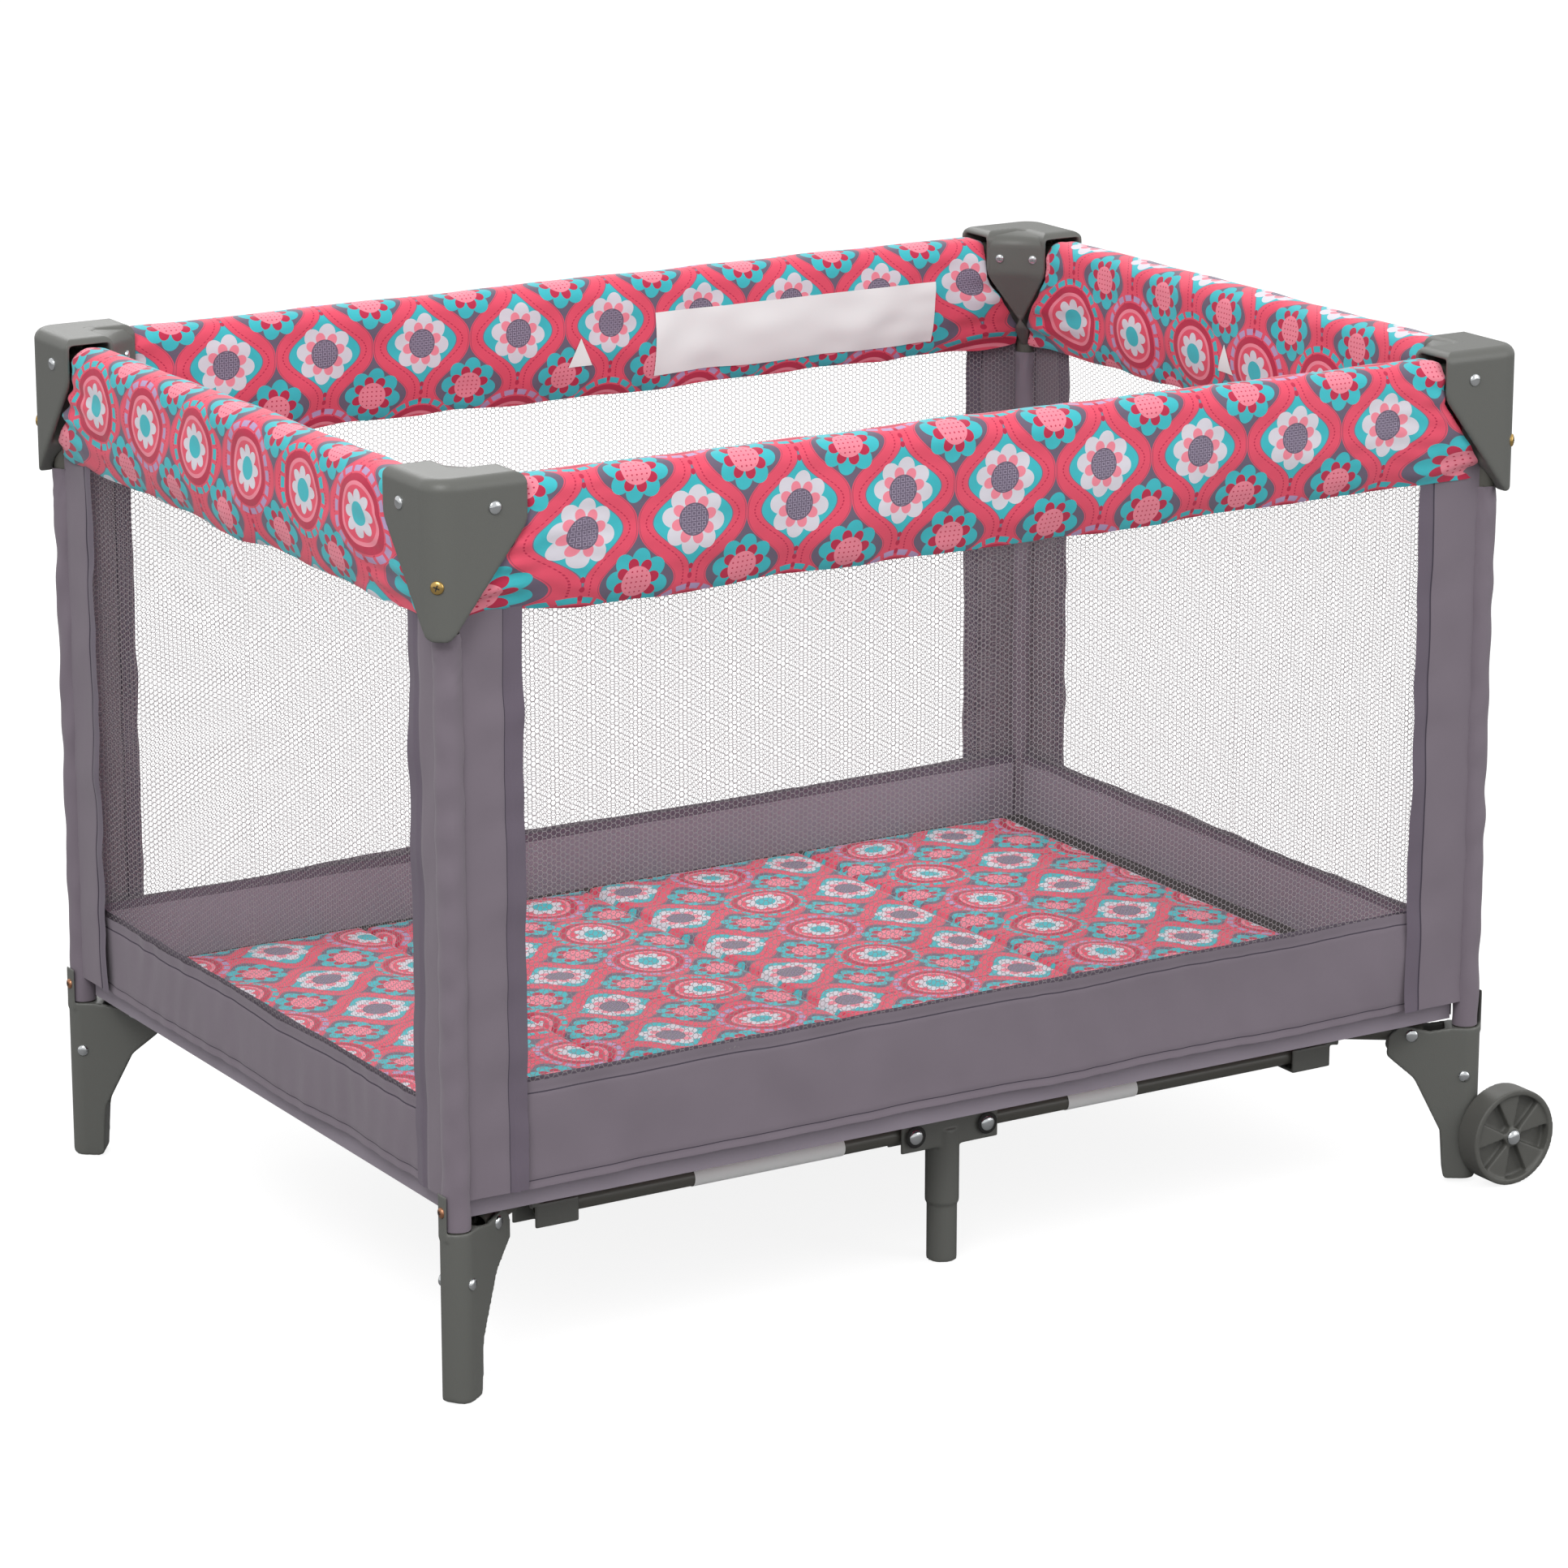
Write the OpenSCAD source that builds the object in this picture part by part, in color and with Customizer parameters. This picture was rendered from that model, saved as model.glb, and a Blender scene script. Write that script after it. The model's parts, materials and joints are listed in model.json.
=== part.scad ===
// Travel play yard: a folding frame with padded top rails, a hanging fabric tub and a four-panel mattress.
// Millimetres, +X along the long side, the front long side at -Y, +Z up, floor at z = 0.
// Corner names: fl, fr, bl, br (front or back, left or right). The wheels are at the right end.

/* [Frame] */
// Length over the corner brackets
frame_l = 1010; // [980:1:1060]
// Width over the corner brackets
frame_w = 718; // [700:1:750]
// Height to the top of the corner brackets
frame_h = 722; // [700:1:750]
// Distance from a post's axis to the outer faces of its bracket
axis_in = 22; // [22:0.5:24]
// Share of the plan that doesn't shrink when the frame folds
fold_share = 0.181; // [0.18:0.001:0.19]

/* [Corner brackets] */
// Height of the shield-shaped faces
shield_h = 122; // [115:1:128]
// Width of a face beyond the post's axis
arm_l = 58; // [54:1:60]
// Wall thickness
bracket_t = 4; // [3:0.5:5]

/* [Top rails] */
// Outer diameter of a rail tube
rail_d = 22; // [20:0.5:22]
// Depth of a rail's axis below the bracket top
rail_drop = 24; // [24:0.5:26]
// Distance from a post's axis to the rail's pivot
rail_in = 30; // [29:0.5:31]
// Height of the padded cover
cover_h = 104; // [95:1:110]
// Thickness of the padded cover
cover_t = 38; // [38:0.5:40]
// Travel of a latch button
button_travel = 5; // [3:0.5:5.5]

/* [Posts and legs] */
// Outer diameter of a post
post_d = 19; // [18:0.5:20]
// Height of a leg's socket
leg_h = 137; // [130:1:138]
// Thickness of a leg across the plan diagonal
leg_t = 26; // [25:0.5:28]
// Distance from a post's axis to the floor tube's pivot
ear_r = 45; // [44:0.5:46]
// Wheel diameter
wheel_d = 84; // [80:1:88]
// Wheel width
wheel_w = 24; // [22:0.5:26]
// Distance from a post's axis outward to the wheel's axle
wheel_out = 27; // [25:0.5:29]

/* [Under-frame] */
// Height of the floor tubes' pivots
floor_z = 130; // [129:0.5:131]
// Outer diameter of a floor tube
tube_d = 16; // [15:0.5:16]
// Outer diameter of a side bar
bar_d = 15; // [14:0.5:15]
// Distance of a side bar from the long centre line
bar_y = 270; // [262:1:278]
// Drop from a floor tube to a side bar
bar_drop = 16; // [15.8:0.1:16.5]
// Step from a saddle's tube pin in to its bar pin
saddle_in = 16; // [16:0.5:18]

/* [Tub and mattress] */
// Thickness of the wall and floor fabric
fabric_t = 2; // [1.5:0.1:2]
// Height of the top of the wall inside the rail covers
wall_top = 640; // [630:1:650]
// Thickness of the mattress
mattress_t = 25; // [20:1:30]
// Gap between the mattress and the posts' axes
mattress_in = 31; // [29:1:34]

/* [Hidden] */

$fn = 48;
plastic = "#5b5c58";
steel = "#56554f";
chrome = "#c9ccce";
fabric = "#7a6f7d";
print = "#e8526b";
liner = "#433e3f";

cut = 1;                 // how far a cutter runs past what it cuts
fit = 0.2;               // gap round a pin in a bore
side_gap = 0.6;          // gap between a tube and the plates beside it
plate = 3;               // clevis plate thickness
pin_r = 3;
rivet_r = 5.5;           // rivet head
head_h = 1.6;            // its base step
crown_h = 0.7;           // its top step

// Plan of the frame. Every arm keeps the same share of its line, so all of them fold through one angle.
px = frame_l / 2 - axis_in;
py = frame_w / 2 - axis_in;
diag = norm([px, py]);
ux = px / diag;
uy = py / diag;
diag_angle = atan2(py, px);
hub_r = fold_share * diag - ear_r;
tube_len = diag - ear_r - hub_r;
saddle_s = (py - bar_y) / uy - ear_r;
bar_len = (tube_len - saddle_s) * ux;
mid_x = hub_r * ux - saddle_in;
half_x = fold_share * px - rail_in;
half_y = fold_share * py - rail_in;

// The wheels stand out at one end only, so the frame sits off the centre of the whole outline.
shift = -(wheel_out + wheel_d / 2 - axis_in - head_h - crown_h) / 2;

rail_z = frame_h - rail_drop;
rail_r = rail_d / 2;
rail_wall = 1.5;
rail_end = 8;            // tube past its pivot
post_r = post_d / 2;
post_wall = 1.2;
post_low = 60;
post_high = rail_z + 2;
tube_r = tube_d / 2;
tube_wall = 1.2;
tube_end = 10;
bar_r = bar_d / 2;
grip_r = 34;
grip_h = 14;
bar_end = 6;
bar_z = floor_z - bar_drop;

housing_side = rail_r + side_gap + 0.9;
housing_t = 4;
housing_low = -17;
housing_high = 8;
housing_past = 12;
housing_clear = 16;      // from a rail pivot to the housing's solid middle

sleeve_r = post_r + 1.5;
wall_own = post_r + 1;      // a wall's end at its own sleeve
wall_other = sleeve_r + 0.6; // and at the other tub half's sleeve
tub_floor = floor_z + tube_r + 1.5;
mattress_z = tub_floor + fabric_t + 1.5;
mattress_hx = px - mattress_in;
mattress_hy = py - mattress_in + 12;
panel_w = mattress_hx / 2;
panel_gap = 1;
piping_r = 1.2;

axle_z = wheel_d / 2;
axle_r = 4;
wheel_gap = 1.5;
wheel_foot = 3;          // a wheeled leg stops this far above the floor
wheel_y = -leg_t / 2 - wheel_gap - wheel_w;

screw_drop = 80;
slant_drop = 38;         // from the top to where a bracket's slanted edge starts
leg_rivet_z = 95;
tab_h = 30;

// Arc of n steps about c from angle a to angle b
function arc(c, r, a, b, n = 6) = [
    for (i = [0:n]) let (t = a + (b - a) * i / n) c + r * [cos(t), sin(t)]
];

// Outline whose corners [x, y, radius] are rounded
function unit(v) = v / norm(v);
function fillet(p, q, s) =
    let (
        a = unit([p[0] - q[0], p[1] - q[1]]),
        b = unit([s[0] - q[0], s[1] - q[1]]),
        half = acos(a * b) / 2,
        c = [q[0], q[1]] + unit(a + b) * q[2] / sin(half),
        t0 = [q[0], q[1]] + a * q[2] / tan(half) - c,
        t1 = [q[0], q[1]] + b * q[2] / tan(half) - c,
        a0 = atan2(t0[1], t0[0]),
        turn = atan2(t1[1], t1[0]) - a0,
        short = turn > 180 ? turn - 360 : turn < -180 ? turn + 360 : turn
    )
    arc(c, q[2], a0, a0 + short);
function corner_points(p, i) = p[i][2] == 0
    ? [[p[i][0], p[i][1]]]
    : fillet(p[(i + len(p) - 1) % len(p)], p[i], p[(i + 1) % len(p)]);
function rounded(p) = [for (i = [0:len(p) - 1]) for (q = corner_points(p, i)) q];

// A corner's own frame: the post's axis at the origin, +x and +y pointing into the yard
module at_corner(sx, sy) {
    translate([shift + sx * px, sy * py, 0])
        mirror([sx > 0 ? 1 : 0, 0, 0]) mirror([0, sy > 0 ? 1 : 0, 0]) children();
}

// The same, turned so that +x runs along the plan diagonal to the hub
module at_diagonal(sx, sy) {
    at_corner(sx, sy) rotate([0, 0, diag_angle]) children();
}

// A rail's own frame: its middle at the origin, +x along it
module at_rail(side) {
    if (side == "front") translate([shift, -py, rail_z]) children();
    if (side == "back") translate([shift, py, rail_z]) rotate([0, 0, 180]) children();
    if (side == "left") translate([shift - px, 0, rail_z]) rotate([0, 0, -90]) children();
    if (side == "right") translate([shift + px, 0, rail_z]) rotate([0, 0, 90]) children();
}

module rod_y(r, y0, y1) {
    translate([0, y1, 0]) rotate([90, 0, 0]) cylinder(r = r, h = y1 - y0);
}

module rod_x(r, x0, x1) {
    translate([x0, 0, 0]) rotate([0, 90, 0]) cylinder(r = r, h = x1 - x0);
}

module block(x0, x1, y0, y1, z0, z1) {
    translate([x0, y0, z0]) cube([x1 - x0, y1 - y0, z1 - z0]);
}

// Two clevis plates, each t thick, with the gap 2 * inner between them
module plates(x0, x1, inner, t, z0, z1) {
    block(x0, x1, inner, inner + t, z0, z1);
    block(x0, x1, -inner - t, -inner, z0, z1);
}

// Outline in x and z, extruded across y
module across(points, y0, y1) {
    translate([0, y1, 0]) rotate([90, 0, 0]) linear_extrude(y1 - y0) polygon(points);
}

// Rivet through y0..y1 with a stepped dome at each end
module rivet_y(y0, y1, r = pin_r, head = rivet_r) {
    rod_y(r, y0, y1);
    rod_y(head, y0 - head_h, y0);
    rod_y(head * 0.7, y0 - head_h - crown_h, y0);
    rod_y(head, y1, y1 + head_h);
    rod_y(head * 0.7, y1, y1 + head_h + crown_h);
}

// ---- Corner assembly ----

module shield_arm() {
    low = frame_h - shield_h;
    across(rounded([
        [-axis_in, low, 5], [-axis_in + 15, low, 7], [arm_l, frame_h - slant_drop, 20],
        [arm_l, frame_h, 9], [-axis_in, frame_h, 0],
    ]), -axis_in, arm_l + cut);
}

module channel_cut() {
    block(axis_in - 8, arm_l + cut, -axis_in + bracket_t, axis_in - bracket_t,
        frame_h - shield_h - cut, frame_h - 6);
}

module bracket(sx, sy) {
    low = frame_h - shield_h;
    color(plastic) at_corner(sx, sy) difference() {
        intersection() {
            translate([0, 0, low]) linear_extrude(shield_h) {
                circle(r = axis_in);
                translate([0, -axis_in]) square([arm_l, 2 * axis_in]);
                translate([-axis_in, 0]) square([2 * axis_in, arm_l]);
            }
            shield_arm();
            mirror([1, -1, 0]) shield_arm();
        }
        channel_cut();
        mirror([1, -1, 0]) channel_cut();
        translate([0, 0, low - cut]) cylinder(r = post_r + fit, h = post_high - low + cut);
        for (turn = [0, 1]) mirror([turn, -turn, 0])
            translate([rail_in, 0, rail_z]) rod_y(pin_r + fit / 2, -axis_in - cut, axis_in + cut);
        translate([0, 0, frame_h - screw_drop]) rotate([0, 0, 45]) rod_x(2.1, -axis_in - cut, 0);
    }
}

module post(sx, sy) {
    color(steel) at_corner(sx, sy) difference() {
        translate([0, 0, post_low]) cylinder(r = post_r, h = post_high - post_low);
        translate([0, 0, post_low - cut])
            cylinder(r = post_r - post_wall, h = post_high - post_low + 2 * cut);
        translate([0, 0, leg_rivet_z]) rotate([0, 0, diag_angle]) rod_y(2.6, -post_d, post_d);
    }
}

module leg_outline(low) {
    across(rounded([
        [-leg_t / 2, low, 4], [15, low, 4], [18, 44, 20], [42, 92, 20], [66, 112, 6],
        [64, 130, 6], [54, floor_z + 9, 6], [30, floor_z + 4, 12], [13, leg_h, 0], [-leg_t / 2, leg_h, 0],
    ]), -leg_t / 2, leg_t / 2);
}

module leg(sx, sy) {
    wheeled = sx > 0;
    low = wheeled ? wheel_foot : 0;
    color(plastic) {
        difference() {
            union() {
                at_diagonal(sx, sy) intersection() {
                    leg_outline(low);
                    linear_extrude(frame_h) {
                        circle(r = leg_t / 2);
                        translate([0, -leg_t / 2]) square([80, leg_t]);
                    }
                }
                if (wheeled) at_corner(sx, sy) {
                    translate([-wheel_out, 0, axle_z]) rod_y(11, -leg_t / 2, leg_t / 2 - 4);
                    block(-wheel_out, 0, -leg_t / 2 + 1, leg_t / 2 - 5, axle_z - 11, axle_z + 11);
                }
            }
            at_diagonal(sx, sy) {
                block(17, 80, -tube_r - side_gap - 0.9, tube_r + side_gap + 0.9, 34, frame_h);
                translate([0, 0, post_low]) cylinder(r = post_r + fit, h = leg_h);
                translate([0, 0, leg_rivet_z]) rod_y(2.6, -leg_t, leg_t);
                translate([ear_r, 0, floor_z]) rod_y(pin_r + fit / 2, -leg_t, leg_t);
            }
            if (wheeled) at_corner(sx, sy)
                translate([-wheel_out, 0, axle_z]) rod_y(axle_r + fit / 2, -leg_t, leg_t);
        }
        at_corner(sx, sy) block(-leg_t / 2, -leg_t / 2 + 1.4, -7, 7, leg_h - 6, leg_h + tab_h);
    }
}

module fasteners(sx, sy) {
    color(chrome) {
        at_corner(sx, sy) {
            for (turn = [0, 1]) mirror([turn, -turn, 0])
                translate([rail_in, 0, rail_z]) rivet_y(-axis_in, axis_in);
            translate([0, 0, frame_h - screw_drop]) rotate([0, 0, 45]) {
                rod_x(2, -axis_in, -post_r - 1);
                rod_x(4.6, -axis_in - 2, -axis_in);
            }
            if (sx > 0) translate([-wheel_out, 0, axle_z]) {
                rod_y(axle_r, wheel_y - 2, leg_t / 2 - 4);
                rod_y(7, wheel_y - 4, wheel_y - 1.5);
            }
        }
        at_diagonal(sx, sy) {
            translate([0, 0, leg_rivet_z]) rivet_y(-leg_t / 2, leg_t / 2, r = 2.5, head = 4.6);
            translate([ear_r, 0, floor_z]) rivet_y(-leg_t / 2, leg_t / 2);
        }
    }
}

module wheel(sx, sy) {
    rim_t = 5;
    blades = 5;
    color(plastic) at_corner(sx, sy) translate([-wheel_out, wheel_y + wheel_w, axle_z]) rotate([90, 0, 0])
        difference() {
            union() {
                difference() {
                    cylinder(d = wheel_d, h = wheel_w);
                    translate([0, 0, wheel_w - 9]) cylinder(r = wheel_d / 2 - rim_t, h = wheel_w);
                    translate([0, 0, -cut]) cylinder(r = wheel_d / 2 - rim_t, h = 9 + cut);
                }
                cylinder(r = 8, h = wheel_w - 1);
                for (i = [0:blades - 1]) rotate([0, 0, 10 + i * 360 / blades])
                    translate([0, 0, 4]) linear_extrude(wheel_w - 6.5)
                        polygon(concat([[3, 0]], arc([0, 0], wheel_d / 2 - rim_t + cut, -18, 18, 6)));
            }
            translate([0, 0, -cut]) cylinder(r = axle_r + fit, h = wheel_w + 2 * cut);
        }
}

// ---- Top rails ----

// One rail half, from its bracket pivot to its latch pivot, on the far side (hand = 1) or near side (-1)
module rail_half(side, hand, half, reach) {
    color(steel) at_rail(side) mirror([hand < 0 ? 1 : 0, 0, 0]) difference() {
        rod_x(rail_r, half - rail_end, reach + rail_end);
        rod_x(rail_r - rail_wall, half - rail_end - cut, reach + rail_end + cut);
        for (x = [half, reach]) translate([x, 0, 0]) rod_y(pin_r + fit, -rail_d, rail_d);
    }
}

module latch_housing(side, half) {
    color(plastic) at_rail(side) {
        difference() {
            union() {
                plates(-half - housing_past, half + housing_past, housing_side, housing_t,
                    housing_low, housing_high);
                block(-half + housing_clear, half - housing_clear, -housing_side, housing_side,
                    housing_low, housing_high);
            }
            block(-10.5, 10.5, -8.5, 8.5, housing_low - cut, housing_low + 14.5);
        }
        for (s = [-1, 1]) translate([s * half, 0, 0])
            rod_y(pin_r, -housing_side - housing_t / 2, housing_side + housing_t / 2);
    }
}

module latch_button(side) {
    color(chrome) at_rail(side)
        block(-10, 10, -8, 8, housing_low - button_travel, housing_low + 14 - button_travel);
}

module rail_cover(side, reach) {
    top = frame_h - 6;
    color(print) at_rail(side) translate([0, 0, -rail_z]) difference() {
        block(-reach, reach, -cover_t / 2, cover_t / 2, top - cover_h, top);
        block(-reach - cut, reach + cut, -cover_t / 2 + 1.8, cover_t / 2 - 1.8, top - cover_h - cut, top - 3);
    }
}

// ---- Under-frame ----

module floor_tube(sx, sy) {
    color(steel) at_diagonal(sx, sy) translate([ear_r, 0, floor_z]) difference() {
        rod_x(tube_r, -tube_end, tube_len + tube_end);
        rod_x(tube_r - tube_wall, -tube_end - cut, tube_len + tube_end + cut);
        for (x = [0, saddle_s, tube_len]) translate([x, 0, 0]) rod_y(pin_r + fit, -tube_d, tube_d);
    }
}

module floor_hub() {
    core_r = hub_r - 14;
    inner = tube_r + side_gap;
    color(plastic) translate([shift, 0, floor_z]) difference() {
        union() {
            translate([0, 0, -18]) cylinder(r = core_r, h = 24.8);
            for (sx = [-1, 1]) for (sy = [-1, 1])
                rotate([0, 0, atan2(sy * py, sx * px)]) {
                    plates(core_r - 4, hub_r + 10, inner, plate, -12, 7);
                    translate([hub_r, 0, 0]) rod_y(pin_r, -inner - plate / 2, inner + plate / 2);
                }
        }
        translate([0, 0, -grip_h + 6.5]) cylinder(r = grip_r + 0.5, h = grip_h + cut);
    }
}

// Webbing on a round grip that sits in the hub's pocket
module pull_strap() {
    translate([shift, 0, floor_z + 7]) {
        color(liner) difference() {
            block(-45, 45, -14, 14, 0, 2);
            block(-30, 30, -7, 7, -cut, 2 + cut);
        }
        color(liner) translate([0, 0, -grip_h + 0.4]) difference() {
            cylinder(r = grip_r, h = grip_h);
            translate([0, 0, -cut]) cylinder(r = 7, h = grip_h + 2 * cut);
        }
    }
}

module saddle(sx, sy) {
    inner = tube_r + side_gap;
    web_low = -bar_drop - 13;
    color(plastic) at_diagonal(sx, sy) translate([ear_r + saddle_s, 0, floor_z]) {
        plates(-11, 5, inner, plate, -10, 9);
        rod_y(pin_r, -inner - plate / 2, inner + plate / 2);
        rotate([0, 0, -diag_angle]) {
            block(-6, 42, inner, inner + plate, web_low, -inner);
            block(3, 42, -inner - plate, -inner, web_low, -inner);
            block(14, 42, -inner - plate, inner + plate, web_low, web_low + 2.6);
            translate([saddle_in, 0, -bar_drop]) rod_y(pin_r, -inner - plate / 2, inner + plate / 2);
        }
    }
}

module side_bar(sx, sy) {
    at_x = (tube_len - saddle_s) * ux + hub_r * ux - saddle_in;
    color(steel) translate([shift, sy * bar_y, bar_z]) mirror([sx < 0 ? 1 : 0, 0, 0]) difference() {
        rod_x(bar_r, at_x - bar_len - bar_end, at_x + bar_end);
        rod_x(bar_r - tube_wall, at_x - bar_len - bar_end - cut, at_x + bar_end + cut);
        for (x = [at_x - bar_len, at_x]) translate([x, 0, 0]) rod_y(pin_r + fit, -bar_d, bar_d);
    }
}

module mid_foot(sy) {
    inner = tube_r + side_gap;
    end_x = mid_x + 12;
    color(plastic) translate([shift, sy * bar_y, bar_z]) {
        plates(-end_x, end_x, inner, plate, -14, 14);
        block(-end_x, end_x, -inner - plate, inner + plate, 10.4, 14);
        block(-mid_x + 11, mid_x - 11, -inner - plate, inner + plate, -14, 14);
        for (s = [-1, 1]) translate([s * mid_x, 0, 0]) rod_y(pin_r, -inner - plate / 2, inner + plate / 2);
        translate([0, 0, -64]) cylinder(r = 14, h = 64);
        translate([0, 0, -bar_z]) cylinder(r = 12.5, h = bar_z);
    }
}

// ---- Tub and mattress ----

// One wall along x; low and high are how far its two ends stop before the posts' axes
module wall(reach, sleeve_top, low, high) {
    half = fabric_t / 2;
    block(-reach + low, reach - high, -half, half, tub_floor, sleeve_top);
    block(-reach + 16, reach - 16, -half, half, sleeve_top - cut, wall_top);
}

module sleeve(sx, sy, sleeve_top) {
    at_corner(sx, sy) translate([0, 0, leg_h + 1]) difference() {
        cylinder(r = sleeve_r, h = sleeve_top - leg_h - 1);
        translate([0, 0, -cut]) cylinder(r = post_r + 0.3, h = sleeve_top);
    }
}

module tub(front) {
    s = front ? -1 : 1;
    sleeve_top = frame_h - shield_h - 2;
    color(fabric) {
        translate([shift, s * py, 0]) wall(px, sleeve_top, wall_own, wall_own);
        translate([shift + s * px, 0, 0]) rotate([0, 0, 90])
            wall(py, sleeve_top, front ? wall_own : wall_other, front ? wall_other : wall_own);
        for (other = [-1, 1]) sleeve(s * other, s, sleeve_top);
    }
    if (front) color(liner)
        block(shift - px + 14, shift + px - 14, -py + 14, py - 14, tub_floor, tub_floor + fabric_t);
    if (front) color(liner) {
        block(shift - px + 30, shift + px - 30, -py, -py + 15, tub_floor, tub_floor + fabric_t);
        block(shift - px, shift - px + 15, -py + 30, py - 30, tub_floor, tub_floor + fabric_t);
    }
}

// Panels 1, 3 and 4 carry the piping of the fold next to them; their neighbours have a groove for it
module mattress_panel(i) {
    x0 = shift - mattress_hx + (i - 1) * panel_w;
    top = mattress_z + mattress_t;
    piped = i == 1 ? [x0 + panel_w] : i == 2 ? [] : [x0];
    grooved = i == 2 ? [x0, x0 + panel_w] : i == 3 ? [x0 + panel_w] : [];
    color(print) difference() {
        union() {
            block(x0 + panel_gap / 2, x0 + panel_w - panel_gap / 2, -mattress_hy, mattress_hy,
                mattress_z, top);
            for (x = piped) translate([x, 0, top]) rod_y(piping_r, -mattress_hy, mattress_hy);
        }
        for (x = grooved) translate([x, 0, top])
            rod_y(piping_r + 0.3, -mattress_hy - cut, mattress_hy + cut);
    }
}

bracket(-1, -1);  // bracket_fl
bracket(1, -1);  // bracket_fr
bracket(-1, 1);  // bracket_bl
bracket(1, 1);  // bracket_br
post(-1, -1);  // post_fl
post(1, -1);  // post_fr
post(-1, 1);  // post_bl
post(1, 1);  // post_br
leg(-1, -1);  // leg_fl
leg(1, -1);  // leg_fr
leg(-1, 1);  // leg_bl
leg(1, 1);  // leg_br
fasteners(-1, -1);  // fasteners_fl
fasteners(1, -1);  // fasteners_fr
fasteners(-1, 1);  // fasteners_bl
fasteners(1, 1);  // fasteners_br
rail_half("front", -1, half_x, px - rail_in);  // rail_front_left
rail_half("front", 1, half_x, px - rail_in);  // rail_front_right
rail_half("back", 1, half_x, px - rail_in);  // rail_back_left
rail_half("back", -1, half_x, px - rail_in);  // rail_back_right
rail_half("left", 1, half_y, py - rail_in);  // rail_left_front
rail_half("left", -1, half_y, py - rail_in);  // rail_left_back
rail_half("right", -1, half_y, py - rail_in);  // rail_right_front
rail_half("right", 1, half_y, py - rail_in);  // rail_right_back
latch_housing("front", half_x);  // latch_housing_front
latch_housing("back", half_x);  // latch_housing_back
latch_housing("left", half_y);  // latch_housing_left
latch_housing("right", half_y);  // latch_housing_right
latch_button("front");  // latch_button_front
latch_button("back");  // latch_button_back
latch_button("left");  // latch_button_left
latch_button("right");  // latch_button_right
rail_cover("front", px - arm_l - 3);  // rail_cover_front
rail_cover("back", px - arm_l - 3);  // rail_cover_back
rail_cover("left", py - arm_l - 3);  // rail_cover_left
rail_cover("right", py - arm_l - 3);  // rail_cover_right
floor_tube(-1, -1);  // floor_tube_fl
floor_tube(1, -1);  // floor_tube_fr
floor_tube(-1, 1);  // floor_tube_bl
floor_tube(1, 1);  // floor_tube_br
floor_hub();
pull_strap();
saddle(-1, -1);  // saddle_fl
saddle(1, -1);  // saddle_fr
saddle(-1, 1);  // saddle_bl
saddle(1, 1);  // saddle_br
side_bar(-1, -1);  // side_bar_fl
side_bar(1, -1);  // side_bar_fr
side_bar(-1, 1);  // side_bar_bl
side_bar(1, 1);  // side_bar_br
mid_foot(-1);  // mid_foot_front
mid_foot(1);  // mid_foot_back
wheel(1, -1);  // wheel_fr
wheel(1, 1);  // wheel_br
tub(true);  // tub_front_left
tub(false);  // tub_back_right
mattress_panel(1);  // mattress_panel_1
mattress_panel(2);  // mattress_panel_2
mattress_panel(3);  // mattress_panel_3
mattress_panel(4);  // mattress_panel_4
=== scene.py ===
import json
import math

import bpy
import numpy as np
from mathutils import Matrix, Vector

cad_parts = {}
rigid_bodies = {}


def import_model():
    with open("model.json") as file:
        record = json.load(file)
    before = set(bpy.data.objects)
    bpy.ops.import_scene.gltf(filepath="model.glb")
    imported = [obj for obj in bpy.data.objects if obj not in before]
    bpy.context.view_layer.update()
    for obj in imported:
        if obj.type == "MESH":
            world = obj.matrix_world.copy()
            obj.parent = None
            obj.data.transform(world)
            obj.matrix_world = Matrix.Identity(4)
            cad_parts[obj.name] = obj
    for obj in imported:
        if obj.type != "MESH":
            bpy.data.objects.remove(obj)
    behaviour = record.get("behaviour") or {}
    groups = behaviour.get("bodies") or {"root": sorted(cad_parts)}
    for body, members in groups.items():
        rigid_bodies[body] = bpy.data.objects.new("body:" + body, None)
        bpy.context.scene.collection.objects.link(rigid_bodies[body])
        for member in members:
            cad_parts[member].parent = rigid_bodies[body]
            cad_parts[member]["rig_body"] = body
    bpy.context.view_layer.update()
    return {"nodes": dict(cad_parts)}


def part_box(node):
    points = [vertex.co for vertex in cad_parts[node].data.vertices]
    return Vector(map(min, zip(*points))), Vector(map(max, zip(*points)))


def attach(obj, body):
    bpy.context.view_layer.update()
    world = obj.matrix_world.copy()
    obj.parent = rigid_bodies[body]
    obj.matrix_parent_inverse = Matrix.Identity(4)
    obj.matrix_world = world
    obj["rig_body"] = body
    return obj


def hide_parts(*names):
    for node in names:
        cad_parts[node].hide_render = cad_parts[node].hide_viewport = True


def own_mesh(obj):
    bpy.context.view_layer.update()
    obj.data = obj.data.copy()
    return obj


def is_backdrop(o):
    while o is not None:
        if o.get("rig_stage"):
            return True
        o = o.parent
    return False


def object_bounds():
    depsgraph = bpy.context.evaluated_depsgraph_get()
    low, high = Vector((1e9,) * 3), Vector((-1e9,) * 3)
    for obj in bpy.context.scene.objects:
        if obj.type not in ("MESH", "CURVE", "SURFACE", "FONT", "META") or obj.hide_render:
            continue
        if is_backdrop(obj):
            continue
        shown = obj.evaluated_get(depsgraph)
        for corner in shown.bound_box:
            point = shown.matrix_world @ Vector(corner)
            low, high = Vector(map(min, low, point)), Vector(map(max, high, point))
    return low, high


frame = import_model()

# ---- Frame positions, all taken from the CAD boxes ----

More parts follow.
